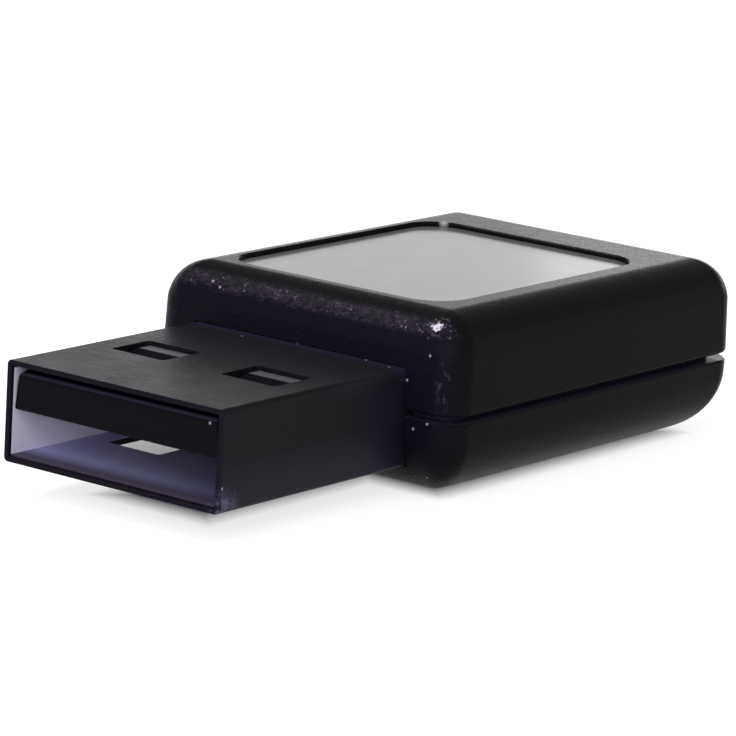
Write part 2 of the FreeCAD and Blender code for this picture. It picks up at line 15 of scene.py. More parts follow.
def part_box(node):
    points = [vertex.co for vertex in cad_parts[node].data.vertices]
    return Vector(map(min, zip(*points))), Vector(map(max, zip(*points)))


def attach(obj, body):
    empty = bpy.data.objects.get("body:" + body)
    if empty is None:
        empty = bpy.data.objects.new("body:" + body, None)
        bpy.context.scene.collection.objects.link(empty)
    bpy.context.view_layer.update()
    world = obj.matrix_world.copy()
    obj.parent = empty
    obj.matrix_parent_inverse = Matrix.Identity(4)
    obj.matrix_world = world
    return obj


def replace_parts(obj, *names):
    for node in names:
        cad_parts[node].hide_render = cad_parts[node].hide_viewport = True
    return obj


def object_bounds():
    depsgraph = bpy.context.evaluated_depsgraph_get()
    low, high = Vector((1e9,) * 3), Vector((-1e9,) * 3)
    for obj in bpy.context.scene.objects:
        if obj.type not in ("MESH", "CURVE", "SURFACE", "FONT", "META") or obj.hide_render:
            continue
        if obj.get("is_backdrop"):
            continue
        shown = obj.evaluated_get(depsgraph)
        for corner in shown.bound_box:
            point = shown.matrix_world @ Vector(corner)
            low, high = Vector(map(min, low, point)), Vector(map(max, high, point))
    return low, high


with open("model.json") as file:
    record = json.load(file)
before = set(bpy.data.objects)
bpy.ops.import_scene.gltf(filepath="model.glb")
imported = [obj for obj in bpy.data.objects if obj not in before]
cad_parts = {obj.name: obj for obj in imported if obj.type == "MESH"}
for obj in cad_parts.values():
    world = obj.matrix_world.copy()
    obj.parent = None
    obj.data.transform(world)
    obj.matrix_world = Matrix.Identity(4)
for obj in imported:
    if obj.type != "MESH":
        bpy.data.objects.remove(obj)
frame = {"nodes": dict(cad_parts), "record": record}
cad_box = [list(corner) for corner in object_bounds()]
mm_in_metre = 1000
print("pieces in the frame:", len(frame["nodes"]))
print("size in mm:", [round((high - low) * mm_in_metre, 2) for low, high in zip(*cad_box)])

# %% [markdown]
# ## The camera
# The picture was taken from close to the table, looking over the plug's mouth at the housing.
# A camera can be placed by hand or aimed with a constraint. Here it is placed by numbers a
# photographer would use: how far away it stands, how high, how far round, and how it leans.
# Nothing then depends on the picture's size, and the same camera is found again each time.

# %% Place the camera
camera_distance = 0.196859
camera_round = math.radians(36.92)
camera_height = math.radians(12.644)
camera_lean = math.radians(3.388)
camera_lens_mm = 210.17
sensor_mm = 36
aim_point = Vector((0.001686, 0.001254, 0.00365))


def camera_turn(forward, lean):
    """The rotation of a camera that looks along a direction and leans about it."""
    right = forward.cross(Vector((0, 0, 1))).normalized()
    up = right.cross(forward)
    leaned_right = math.cos(lean) * right + math.sin(lean) * up
    leaned_up = math.cos(lean) * up - math.sin(lean) * right
    return Matrix((leaned_right, leaned_up, -forward)).transposed()


out_from_aim = Vector((-math.cos(camera_round) * math.cos(camera_height),
                       -math.sin(camera_round) * math.cos(camera_height),
                       math.sin(camera_height)))
camera_data = bpy.data.cameras.new("camera")
camera_data.lens = camera_lens_mm
camera_data.sensor_width = sensor_mm
camera_data.clip_start = 0.01
camera_data.clip_end = 20
camera = bpy.data.objects.new("camera", camera_data)
bpy.context.scene.collection.objects.link(camera)
camera.matrix_world = (Matrix.Translation(aim_point + camera_distance * out_from_aim)
                       @ camera_turn(-out_from_aim, camera_lean).to_4x4())
bpy.context.scene.camera = camera
bpy.context.scene.view_settings.view_transform = "Standard"
print("camera at", [round(value, 4) for value in camera.matrix_world.translation])

# %% [markdown]
# ## Starting a finish
# A finish is a small network of nodes. Each one starts from a shader and reads Object
# coordinates, so a pattern keeps its real size in metres and stays put when the piece is moved.
# A network can be drawn in the shader editor. Written out, the same steps come again and again,
# so four helpers take them up: they start a finish, fill a node's inputs, add a node, and write
# a plain colour. A plain value goes straight into the shader's own input.

# %% Helpers that start a finish
def start_finish(name):
    """A new material with its node tree, its shader and its Object coordinates."""
    material = bpy.data.materials.new(name)
    material.use_nodes = True
    tree = material.node_tree
    place = tree.nodes.new("ShaderNodeTexCoord").outputs["Object"]
    return material, tree, tree.nodes["Principled BSDF"], place


def fill(tree, node, values):
    """Fill a node's inputs, each by a link from a socket or with a plain value."""
    for name, value in values.items():
        if isinstance(value, bpy.types.NodeSocket):
            tree.links.new(value, node.inputs[name])
        else:
            node.inputs[name].default_value = value


def add_node(tree, kind, values, **settings):
    """A new node with its settings made and its inputs filled."""
    node = tree.nodes.new(kind)
    for name, value in settings.items():
        setattr(node, name, value)
    fill(tree, node, values)
    return node


def plain(red, green, blue):
    """A colour with full opacity."""
    return (red, green, blue, 1.0)


print("a mid grey is", plain(0.5, 0.5, 0.5))

# %% [markdown]
# ## Sums, levels and shares
# Most of a finish is the question of where it applies: near a height, past a line, within a band.
# The answer is a share, a number from 0 to 1, and shares can be multiplied. A piece could also be
# cut into zones with a material each, but then every border is a hard line of the mesh.

# %% Helpers for levels and shares
def maths(tree, operation, first, second=0.0):
    """The result of a sum on one or two values."""
    values = {0: first, 1: second}
    return add_node(tree, "ShaderNodeMath", values, operation=operation).outputs[0]


def times(tree, first, second):
    """Two values multiplied."""
    return maths(tree, "MULTIPLY", first, second)


def axes(tree, place):
    """The three coordinates of a place."""
    node = add_node(tree, "ShaderNodeSeparateXYZ", {"Vector": place})
    return [node.outputs[axis] for axis in ("X", "Y", "Z")]


def faded(tree, value, low, high, to_low=0.0, to_high=1.0):
    """A value faded from to_low at the low level to to_high at the high level."""
    values = {"Value": value, "From Min": low, "From Max": high,
              "To Min": to_low, "To Max": to_high}
    return add_node(tree, "ShaderNodeMapRange", values).outputs["Result"]


def between(tree, share, at_none, at_full):
    """A number between two, by a share."""
    return faded(tree, share, 0, 1, at_none, at_full)


def off_middle(tree, value, middle):
    """How far a value lies from a middle, on either side of it."""
    return maths(tree, "ABSOLUTE", maths(tree, "SUBTRACT", value, middle))


def within(tree, value, middle, half, edge):
    """A share that is full where a value is closer than half to the middle."""
    return faded(tree, off_middle(tree, value, middle), half + edge, half)


def near_level(tree, value, level, reach):
    """A share that is full at a level and gone a reach above it."""
    return faded(tree, value, level + reach, level)


print("helpers for levels and shares are ready")

# %% [markdown]
# ## Patterns, colours and bumps
# Noise gives grain, smears and blotches, each at its real scale: its number counts the grains in
# a metre. A picture of a surface would do the same, but it needs a file and a map. Coats of colour
# are laid over each other by their shares, the last on top, as a painter would.

# %% Helpers for patterns, colours and bumps
usual_low = 0.3
usual_high = 0.7


def noise(tree, place, grains_per_metre, detail=2.0, roughness=0.5):
    """Cloudy noise with grains of a real size."""
    values = {"Vector": place, "Scale": grains_per_metre, "Detail": detail, "Roughness": roughness}
    return add_node(tree, "ShaderNodeTexNoise", values).outputs["Fac"]


def blotches(tree, place, grains_per_metre, low, high, detail=3.0, roughness=0.7):
    """A share that is full where noise is high and gone where it is low."""
    return faded(tree, noise(tree, place, grains_per_metre, detail, roughness), low, high)


def uneven(tree, pattern, at_low, at_high):
    """A number, such as a roughness, that follows a pattern over its usual span."""
    return faded(tree, pattern, usual_low, usual_high, at_low, at_high)


def stretched(tree, place, x, y, z):
    """The same coordinates, multiplied by a factor along each axis."""
    values = {"Vector": place, "Scale": (x, y, z)}
    return add_node(tree, "ShaderNodeMapping", values).outputs["Vector"]


def mixed(tree, share, first, second):
    """A colour mixed from two by a share. A Mix node numbers its sockets, type after type."""
    share_input, first_input, second_input, colour_output = 0, 6, 7, 2
    values = {share_input: share, first_input: first, second_input: second}
    return add_node(tree, "ShaderNodeMix", values, data_type="RGBA").outputs[colour_output]


def coated(tree, tone, coats):
    """A colour with coats laid over it, each by its share."""
    for share, coat in coats:
        tone = mixed(tree, share, tone, coat)
    return tone


def bump(tree, shader, height, depth, strength=1.0):
    """Bumps of a real depth on a shader."""
    values = {"Height": height, "Distance": depth, "Strength": strength}
    fill(tree, shader, {"Normal": add_node(tree, "ShaderNodeBump", values).outputs["Normal"]})


print("helpers for patterns are ready")

# %% [markdown]
# ## Dust
# A black object shows every speck of dust. Random specks all over look like stars, so the few that
# catch the eye are put where they lie, each by its own point on the surface. One function finds
# how far a place is from the nearest point of a list, and any finish can use it.

# %% Dust
dust_places_mm = [
    (-5.14, -3.74, 5.90), (-5.43, -5.23, 5.90), (-5.03, -7.11, 6.68), (-5.06, -5.98, 5.40),
    (-5.09, -6.48, 3.31), (-5.09, -7.21, 3.67), (-4.16, -6.72, 1.00), (-4.58, 5.56, 7.78),
    (-4.71, 5.03, 7.61), (-5.76, 2.77, 5.90), (-5.02, 0.17, 5.90), (-17.27, -4.98, 5.16),
    (-16.86, 1.11, 1.70), (-15.97, -1.82, 1.70), (-17.33, -5.85, 2.52),
]
dust_radius = 0.000085
dust_core_share = 0.3
dust_tone = plain(0.32, 0.30, 0.34)
far_away = 1.0


def nearest(tree, place, points_mm):
    """The distance from a place to the nearest point of a list."""
    least = far_away
    for point in points_mm:
        centre = [value / mm_in_metre for value in point]
        away = add_node(tree, "ShaderNodeVectorMath", {0: place, 1: centre}, operation="DISTANCE")
        least = maths(tree, "MINIMUM", least, away.outputs["Value"])
    return least


def dust(tree, place):
    """A share that is full on the specks of dust."""
    to_speck = nearest(tree, place, dust_places_mm)
    return faded(tree, to_speck, dust_radius, dust_radius * dust_core_share)


print("specks of dust:", len(dust_places_mm))

# %% [markdown]
# ## Marks on the housing's near corner
# Hands and pockets rub the upright corner nearest to the eye. The rub is a scatter of fine marks,
# longer than it is wide. It could be painted by hand, but a distance that counts height for less
# than width gives a long soft zone, and blotches of noise break it up into marks.

# %% Rubbed corner
rubbed_middle = Vector((-0.0049, -0.0078, 0.0054))
rubbed_squash = 0.3
rubbed_core = 0.00010
rubbed_reach = 0.00045
mark_squash = 0.6
marks_per_metre = 4400
mark_levels = (0.55, 0.64)
mark_tone = plain(0.040, 0.035, 0.046)


def rubbed_corner(tree, place):
    """A share that is high in small marks along the near upright corner."""
    away = add_node(tree, "ShaderNodeVectorMath", {0: place, 1: rubbed_middle},
                    operation="SUBTRACT").outputs["Vector"]
    flat = stretched(tree, away, 1, 1, rubbed_squash)
    distance = add_node(tree, "ShaderNodeVectorMath", {0: flat}, operation="LENGTH")
    close = faded(tree, distance.outputs["Value"], rubbed_reach, rubbed_core)
    drawn_out = stretched(tree, place, 1, 1, mark_squash)
    return times(tree, close, blotches(tree, drawn_out, marks_per_metre, *mark_levels))


print("the marks reach", rubbed_reach * mm_in_metre, "mm round the corner")

# %% [markdown]
# ## Painted sheen on the rounded front edge
# The edge over the plug carries a painted highlight: a thin band of light patches, and pale flecks
# of painted sparkle here and there, many of them at its near end. Flecks modelled one by one would
# be hundreds of shapes for what is only a change of tone. So a pattern of cells gives them: each
# cell has its own random colour, and that colour decides whether the cell's dot is drawn.

# %% Painted sheen on the front edge
# Where the painted highlight and its painted sparkle lie along the rounded front edge.
sheen_band_height = 0.0078
sheen_band_half_height = 0.00021
sheen_band_end_x = -0.0044
sheen_band_fade = 0.0004
glint_spot_mm = (-4.46, -6.97, 7.90)
glint_spot_reach = 0.00075
glint_spot_core = 0.00025
sparkles_per_metre = 6200.0
sparkle_edge = 0.50
sparkle_core = 0.10
sparkle_patches = {"grains_per_metre": 1500, "low": 0.45, "high": 0.65,
                 "detail": 2.0, "roughness": 0.5}
few_levels = (0.40, 1.0)
many_levels = (0.25, 0.90)


def sheen_band(tree, x, z):
    """A share that is full along the rounded front edge."""
    height = within(tree, z, sheen_band_height, sheen_band_half_height, sheen_band_half_height)
    return times(tree, height, near_level(tree, x, sheen_band_end_x, sheen_band_fade))


def painted_sparkles(tree, place, band):
    """A share that is high on painted flecks of sparkle along the front edge, more so near its end.
    """
    to_spot = nearest(tree, place, [glint_spot_mm])
    spot = faded(tree, to_spot, glint_spot_reach, glint_spot_core)
    cells = add_node(tree, "ShaderNodeTexVoronoi", {"Vector": place, "Scale": sparkles_per_metre})
    colour = add_node(tree, "ShaderNodeSeparateColor", {"Color": cells.outputs["Color"]})
    chosen = colour.outputs["Red"]
    dots = faded(tree, cells.outputs["Distance"], sparkle_edge, sparkle_core)
    in_patches = times(tree, band, blotches(tree, place, **sparkle_patches))
    few = times(tree, in_patches, faded(tree, chosen, *few_levels))
    many = times(tree, spot, faded(tree, chosen, *many_levels))
    return times(tree, dots, maths(tree, "MAXIMUM", few, many))


print("the worn band is", round(2 * sheen_band_half_height * mm_in_metre, 2), "mm high")

# %% [markdown]
# ## The painted glint on the front edge
# At the near end of the painted sheen one spot is painted as a bright glint. A round dot would look
# stuck on. So noise is added to each place's distance from the spot, which makes its outline
# ragged.

# %% Painted glint
glint_grains = 5200
glint_levels = (0.35, 0.65)
glint_ragged = 0.00014
glint_reach = 0.00026
glint_core = 0.00012


def painted_glint(tree, place):
    """A share that is full in the middle of the painted glint and ragged around it."""
    patches = blotches(tree, place, glint_grains, *glint_levels)
    ragged = between(tree, patches, -glint_ragged, glint_ragged)
    near = maths(tree, "ADD", nearest(tree, place, [glint_spot_mm]), ragged)
    return faded(tree, near, glint_reach, glint_core)


print("the glint reaches", round(glint_reach * mm_in_metre, 2), "mm")

# %% [markdown]
# ## The housing's moulded plastic
# The two halves are black plastic from a spark-eroded mould, which leaves a fine satin grain. The
# grain could be painted as light and dark dots, but those would not move with the light, so it is
# made as real bumps. Violet light is painted into the black at the front and in the groove of the
# seam, and a glint is painted on the far corner of the pocket. A low index of refraction keeps the
# sides deep black, as matt plastic is, and still lets the top shine.

# %% Housing finish
housing_dark = plain(0.0050, 0.0050, 0.0051)
housing_light = plain(0.0062, 0.0062, 0.0063)
# Painted violet light on the housing's front.
painted_violet_light = plain(0.0062, 0.0052, 0.0096)
housing_clouds = 260
housing_front_x = -0.0050
violet_light_depth = 0.0012
seam_height = 0.00389
seam_half_height = 0.000152
seam_edge = 0.000008
# Painted violet light in the seam's groove, much lighter than the black.
painted_groove_light = plain(0.0240, 0.0190, 0.0380)
# A painted glint on the far corner of the label pocket.
pocket_glint_mm = (12.94, 5.66, 8.39)
pocket_glint_reach = 0.00028
pocket_glint_core = 0.00006
painted_pocket_glint_tone = plain(0.36, 0.36, 0.36)
sheen_patches_per_metre = 2600
sheen_patch_levels = (0.42, 0.62)
# Painted sheen and painted sparkle along the rounded front edge.
painted_sheen_tone = plain(0.0210, 0.0150, 0.0280)
painted_sparkle_tone = plain(0.210, 0.180, 0.250)
# A painted glint at the near end of the front edge.
painted_glint_tone = plain(0.62, 0.56, 0.68)
housing_index = 1.096
satin_grain = 5600
satin_roughness = (0.20, 0.30)
coarse_grain = 3600
coarse_depth = 0.000060
coarse_fade = 0.0012
coarse_strengths = (0.12, 1.0)


def housing_finish():
    """Satin black moulding with fine grain, dust, wear, and painted light, sheen and glints."""
    material, tree, shader, place = start_finish("housing_satin")
    x, _, z = axes(tree, place)
    band = sheen_band(tree, x, z)
    to_pocket_glint = nearest(tree, place, [pocket_glint_mm])
    sheen_patches = times(tree, band, blotches(tree, place, sheen_patches_per_metre, *sheen_patch_levels))
    clouds = noise(tree, place, housing_clouds, detail=3.0)
    tone = coated(tree, mixed(tree, clouds, housing_dark, housing_light), [
        # Painted violet light at the front.
        (near_level(tree, x, housing_front_x, violet_light_depth), painted_violet_light),
        (rubbed_corner(tree, place), mark_tone),
        # Painted violet light in the seam's groove.
        (within(tree, z, seam_height, seam_half_height, seam_edge), painted_groove_light),
        # A painted glint on the pocket's far corner.
        (faded(tree, to_pocket_glint, pocket_glint_reach, pocket_glint_core), painted_pocket_glint_tone),
        # The painted sheen, painted sparkle and painted glint of the front edge.
        (sheen_patches, painted_sheen_tone),
        (painted_sparkles(tree, place, band), painted_sparkle_tone),
        (painted_glint(tree, place), painted_glint_tone),
        (dust(tree, place), dust_tone),
    ])
    grain = noise(tree, place, satin_grain, roughness=0.6)
    fill(tree, shader, {"Base Color": tone, "IOR": housing_index,
                        "Roughness": uneven(tree, grain, *satin_roughness)})
    coarse = noise(tree, place, coarse_grain, detail=3.0, roughness=0.7)
    at_front = near_level(tree, x, sheen_band_end_x, coarse_fade)
    bump(tree, shader, coarse, coarse_depth, between(tree, at_front, *coarse_strengths))
    return material


print("the housing's index of refraction is", housing_index)

# %% [markdown]
# ## The label film
# A smooth film lies in the shallow pocket. It is blank. Seen low it mirrors the bright background
# and the panels behind it, and seen from above it is a quiet grey. A mirror would turn black from
# above, and matt paper would stay grey when seen low, so it is a grey under a clear gloss.

# %% Label film finish
film_dark = plain(0.108, 0.108, 0.109)
film_light = plain(0.120, 0.120, 0.121)
film_clouds = 180
film_index = 1.195
film_smears = 900
film_roughness = (0.15, 0.18)
film_waves = 420
film_wave_depth = 0.000001


def film_finish():
    """Smooth grey film with a faint unevenness from its glue."""
    material, tree, shader, place = start_finish("label_film_gloss")
    tone = mixed(tree, noise(tree, place, film_clouds), film_dark, film_light)
    smears = noise(tree, place, film_smears, detail=3.0)
    fill(tree, shader, {"Base Color": tone, "IOR": film_index,
                        "Roughness": uneven(tree, smears, *film_roughness)})
    bump(tree, shader, noise(tree, place, film_waves), film_wave_depth)
    return material


print("the film's index of refraction is", film_index)

# %% [markdown]
# ## Metal finishes
# Sheet metal is rolled bright and then plated. Handling leaves faint smears, which change how
# rough the surface is much more than its colour, so they go into the roughness. One function makes
# the tinned can over the radio, the gold-coloured contacts and the crystals' plated lids.

# %% Metal finishes
sheet_smears = 300
sheet_lines = 9000
line_stretch = 0.04
line_depth = 0.000002
smear_levels = (0.25, 0.75)
smear_factors = (0.8, 1.2)


def sheet_finish(name, dark, light, roughness):
    """Rolled sheet metal with fine lines along X and faint smears."""
    material, tree, shader, place = start_finish(name)
    smears = noise(tree, place, sheet_smears, detail=3.0, roughness=0.6)
    lines = noise(tree, stretched(tree, place, line_stretch, 1, 1), sheet_lines)
    smeared = faded(tree, smears, *smear_levels, *smear_factors)
    fill(tree, shader, {"Base Color": mixed(tree, smears, dark, light), "Metallic": 1.0,
                        "Roughness": times(tree, smeared, uneven(tree, lines, *roughness))})
    bump(tree, shader, lines, line_depth)
    return material


sheet_finishes = {
    "shield_metal": sheet_finish("tinned_sheet", plain(0.52, 0.52, 0.50),
                                 plain(0.66, 0.66, 0.63), (0.25, 0.38)),
    "contact_plating": sheet_finish("contact_gold", plain(0.72, 0.52, 0.20),
                                    plain(0.84, 0.66, 0.32), (0.16, 0.26)),
    "crystal_case": sheet_finish("crystal_lid", plain(0.55, 0.53, 0.47),
                                 plain(0.68, 0.66, 0.60), (0.22, 0.34)),
}
print("metal finishes:", [finish.name for finish in sheet_finishes.values()])

# %% [markdown]
# ## The outside of the plug's shell
# Outside, the folded sheet is plated nearly black. Its tone changes along it: painted violet light
# low on the side, paler on top towards the housing, a painted violet reflection of the housing's
# front where the two meet, and painted light on the side near the housing, where it lies in shade.
# The low near corner of the mouth is worn through to a lilac tone. A painted map would need the
# sheet unfolded flat, so each of these is a coat that is told by its own place.

# %% Shell, outside
shell_black = plain(0.0110, 0.0105, 0.0130)
# Painted violet light low on the plug's side.
low_violet_light = plain(0.0300, 0.0250, 0.0370)
low_part_height = 0.0014
low_part_reach = 0.0022
shell_near_housing = plain(0.0250, 0.0230, 0.0300)
toward_housing_x = (-0.0110, -0.0062)
# A painted violet reflection of the housing's front on the plug's top.
junction_violet_reflection = plain(0.0360, 0.0320, 0.0680)
junction_x = (-0.0058, -0.0053)
# Painted light on the side next to the housing, which lies in its shade.
side_painted_light = plain(0.0200, 0.0170, 0.0300)
side_painted_light_x = (-0.0085, -0.0060)
rim_violet = plain(0.0100, 0.0076, 0.0145)
rim_x = -0.0174
rim_depth = 0.0001
corner_lilac = plain(0.105, 0.095, 0.165)
mouth_squash = 0.6
mouth_corner_mm = (-17.3 * mouth_squash, -5.85, 1.75)
mouth_corner_reach = 0.00085
mouth_corner_core = 0.00020
mouth_marks = 3000
mouth_mark_levels = (0.42, 0.60)


def worn_mouth(tree, place):
    """A share that is high in marks at the low near corner of the mouth."""
    squashed = stretched(tree, place, mouth_squash, 1, 1)
    to_corner = nearest(tree, squashed, [mouth_corner_mm])
    close = faded(tree, to_corner, mouth_corner_reach, mouth_corner_core)
    return times(tree, close, blotches(tree, place, mouth_marks, *mouth_mark_levels))


def shell_outside(tree, place, on_top):
    """The tone of the black plating with painted light and reflection, coat over coat."""
    x, _, z = axes(tree, place)
    low_part = near_level(tree, z, low_part_height, low_part_reach)
    off_top = between(tree, on_top, 1, 0)
    # Painted violet light low on the side, over the black plating.
    return coated(tree, mixed(tree, low_part, shell_black, low_violet_light), [
        (times(tree, on_top, faded(tree, x, *toward_housing_x)), shell_near_housing),
        # Painted violet reflection where the plug meets the housing.
        (times(tree, on_top, faded(tree, x, *junction_x)), junction_violet_reflection),
        # Painted light on the side near the housing.
        (times(tree, off_top, faded(tree, x, *side_painted_light_x)), side_painted_light),
        (near_level(tree, x, rim_x, rim_depth), rim_violet),
        (worn_mouth(tree, place), corner_lilac),
    ])


print("the worn corner reaches", mouth_corner_reach * mm_in_metre, "mm")

# %% [markdown]
# ## The inside of the plug's shell
# Inside, the sheet is bare: walls of a pale lavender, and a bluer floor that darkens to the near
# side and has a violet lip. A floor laid in as a piece of its own would need its windows cut a
# second time. So the floor is a coat over the walls' tone, and a place's height tells it.

# %% Shell, inside
wall_pale = plain(0.88, 0.83, 1.00)
wall_dark = plain(0.72, 0.67, 0.90)
floor_pale = plain(0.44, 0.44, 0.78)
floor_dark = plain(0.34, 0.34, 0.66)
floor_height = 0.00171
floor_edge = 0.00004
floor_shade = plain(0.15, 0.15, 0.32)
floor_shade_y = -0.0050
floor_shade_reach = 0.0070
lip_violet = plain(0.075, 0.062, 0.105)
lip_x = -0.0168
lip_reach = 0.0012


def shell_inside(tree, place, smears):
    """The tone of the bare metal within the mouth."""
    x, y, z = axes(tree, place)
    floor = coated(tree, mixed(tree, smears, floor_dark, floor_pale), [
        (near_level(tree, y, floor_shade_y, floor_shade_reach), floor_shade),
        (near_level(tree, x, lip_x, lip_reach), lip_violet),
    ])
    on_floor = near_level(tree, z, floor_height, floor_edge)
    return mixed(tree, on_floor, mixed(tree, smears, wall_dark, wall_pale), floor)


print("the floor's tone ends at", round((floor_height + floor_edge) * mm_in_metre, 3), "mm")

# %% [markdown]
# ## The plug's shell as one material
# Two materials on one bent sheet would need its faces sorted by hand. One material can ask instead
# whether a place lies within the box of the shell's opening. The box ends below the upper wall, so
# the edges of the windows up there stay dark. The top is dented finely, which needs deeper bumps
# than the sides have.

# %% Shell finish
opening_middle = Vector((0.0, 0.00015, 0.003615))
opening_half_width = 0.00572
opening_half_height = 0.001935
opening_edge = 0.00001
shell_top_z = (0.0050, 0.0058)
shell_smears = 420
shell_roughness = (0.32, 0.40)
shell_index = 1.15
shell_edge_tint = plain(0.62, 0.62, 0.64)
inside_metallic = 0.25
outside_metallic = 0.5
dents_per_metre = 2600
dent_depth = 0.000030
dent_strengths = (0.15, 1.0)


def shell_finish():
    """Black plating outside and pale violet metal inside the opening."""
    material, tree, shader, place = start_finish("plug_shell_metal")
    _, y, z = axes(tree, place)
    inside = times(tree, within(tree, y, opening_middle.y, opening_half_width, opening_edge),
                   within(tree, z, opening_middle.z, opening_half_height, opening_edge))
    on_top = faded(tree, z, *shell_top_z)
    smears = noise(tree, place, shell_smears, detail=3.0, roughness=0.6)
    speck = dust(tree, place)
    tone = coated(tree, shell_outside(tree, place, on_top),
                  [(inside, shell_inside(tree, place, smears)), (speck, dust_tone)])
    metallic = times(tree, between(tree, inside, outside_metallic, inside_metallic),
                     between(tree, speck, 1, 0))
    fill(tree, shader, {"Base Color": tone, "Metallic": metallic, "IOR": shell_index,
                        "Specular Tint": shell_edge_tint,
                        "Roughness": uneven(tree, smears, *shell_roughness)})
    dents = noise(tree, place, dents_per_metre, detail=4.0, roughness=0.7)
    bump(tree, shader, dents, dent_depth, between(tree, on_top, *dent_strengths))
    return material


print("the opening is", round(2 * opening_half_width * mm_in_metre, 2), "mm wide")

# %% [markdown]
# ## The plug's insulator
# The tongue and its rear block are one moulding in a nearly black plastic with a blue cast. Two
# small places are painted lighter: the crests of the latch wedges that stand in the upper windows,
# which are smoother and carry a painted reflection of the bright background, and the tongue's front
# upper edge, which carries a painted highlight. Faces with a finish of their own would have hard
# borders, so both are told by their height and their place along the plug. The tongue's upper side
# is dull, and its lower part a little glossy.

# %% Insulator finish
insulator_dark = plain(0.0006, 0.0005, 0.0024)
insulator_light = plain(0.0015, 0.0012, 0.0042)
insulator_grain = 2600
insulator_index = 1.15
crest_level = 0.00574
crest_level_edge = 0.00003
crest_start_x = -0.01084
crest_start_edge = 0.00008
# A painted reflection of the bright background on the crests.
crest_reflection_tone = plain(0.060, 0.058, 0.066)
front_edge_height = 0.00532
front_edge_half = 0.00004
front_edge_x = -0.0170
front_edge_depth = 0.0001
# A painted highlight on the tongue's front upper edge.
front_edge_highlight_tone = plain(0.0210, 0.0160, 0.0300)
tongue_level = 0.00550
dull_starts_below = 0.00004
dull_full_below = 0.00002
glossy_roughness = 0.30
dull_roughness = 0.95
crest_polish = 0.65


def insulator_finish():
    """Nearly black moulding of the tongue, with painted reflection on the crests and front edge."""
    material, tree, shader, place = start_finish("insulator_black")
    x, _, z = axes(tree, place)
    crest = times(tree, faded(tree, z, crest_level - crest_level_edge, crest_level),
                  faded(tree, x, crest_start_x, crest_start_x + crest_start_edge))
    front_edge = times(tree, within(tree, z, front_edge_height, front_edge_half, front_edge_half),
                       near_level(tree, x, front_edge_x, front_edge_depth))
    grain = noise(tree, place, insulator_grain, detail=3.0, roughness=0.6)
    tone = coated(tree, mixed(tree, grain, insulator_dark, insulator_light), [
        (crest, crest_reflection_tone), (front_edge, front_edge_highlight_tone), (dust(tree, place), dust_tone)])
    dullness = faded(tree, z, tongue_level - dull_starts_below, tongue_level - dull_full_below,
                     glossy_roughness, dull_roughness)
    roughness = maths(tree, "SUBTRACT", dullness, times(tree, crest, crest_polish))
    fill(tree, shader, {"Base Color": tone, "IOR": insulator_index, "Roughness": roughness})
    return material


print("the crests start", crest_start_x * mm_in_metre, "mm along the plug")

# %% [markdown]
# ## The circuit board
# A board is glass cloth in resin under a thin lacquer. The lacquer dips between the copper
# tracks, and the weave of the cloth just shows. Tracks modelled one by one would be hundreds of
# shapes that the housing hides. So two sets of waves across each other give the weave, and blocks
# of a coarse pattern give areas of copper that look lighter under the lacquer.

# %% Circuit board finish
lacquer_on_copper = plain(0.020, 0.085, 0.042)
lacquer_on_resin = plain(0.010, 0.048, 0.026)
copper_areas = 620.0
copper_edge = (0.46, 0.50)
threads_per_metre = 700.0
weave_depth = 0.000004
lacquer_grain = 1500
lacquer_roughness = (0.24, 0.36)


def board_finish():
    """Dark green lacquer over a woven board with areas of copper."""
    material, tree, shader, place = start_finish("board_lacquer")
    copper = add_node(tree, "ShaderNodeTexVoronoi", {"Vector": place, "Scale": copper_areas},
                      distance="CHEBYCHEV")
    off_copper = faded(tree, copper.outputs["Distance"], *copper_edge)
    threads = [add_node(tree, "ShaderNodeTexWave", {"Vector": place, "Scale": threads_per_metre},
                        bands_direction=direction).outputs["Fac"] for direction in ("X", "Y")]
    fill(tree, shader, {
        "Base Color": mixed(tree, off_copper, lacquer_on_copper, lacquer_on_resin),
        "Roughness": uneven(tree, noise(tree, place, lacquer_grain), *lacquer_roughness)})
    bump(tree, shader, times(tree, *threads), weave_depth)
    return material


print("the weave has", threads_per_metre, "waves to the metre")

# %% [markdown]
# ## Parts with tinned ends
# The capacitors, resistors, coils and the antenna are small blocks whose two ends are dipped in
# tin. One piece then has two finishes. The block's own long axis tells where its ends are, and
# the box of each node gives that axis, so each block gets a finish with its own end positions.

# %% Finishes with tinned ends
tin_light = plain(0.60, 0.60, 0.58)
tin_dark = plain(0.46, 0.46, 0.45)
tin_edge = 0.00002
fired_grain = 5200
fired_roughness = (0.30, 0.46)
body_grain_depth = 0.000008
end_share = 0.22
antenna_end_share = 0.8 / 7.0
tinned_tones = {
    "capacitor_ceramic": (plain(0.30, 0.20, 0.11), plain(0.42, 0.30, 0.18), end_share),
    "ferrite": (plain(0.060, 0.060, 0.066), plain(0.100, 0.100, 0.108), end_share),
    "resistor_body": (plain(0.014, 0.014, 0.015), plain(0.026, 0.026, 0.028), end_share),
    "antenna_ceramic": (plain(0.70, 0.70, 0.66), plain(0.80, 0.80, 0.76), antenna_end_share),
}


def half_metal_finish(name, in_metal, grains, dark, light, roughness):
    """A grained body that turns to tin where in_metal says so."""
    material, tree, shader, place = start_finish(name)
    metal = in_metal(tree, place)
    grain = noise(tree, place, grains, detail=3.0, roughness=0.6)
    tone = mixed(tree, metal, mixed(tree, grain, dark, light),
                 mixed(tree, grain, tin_dark, tin_light))
    fill(tree, shader, {"Base Color": tone, "Metallic": metal,
                        "Roughness": uneven(tree, grain, *roughness)})
    bump(tree, shader, grain, body_grain_depth)
    return material


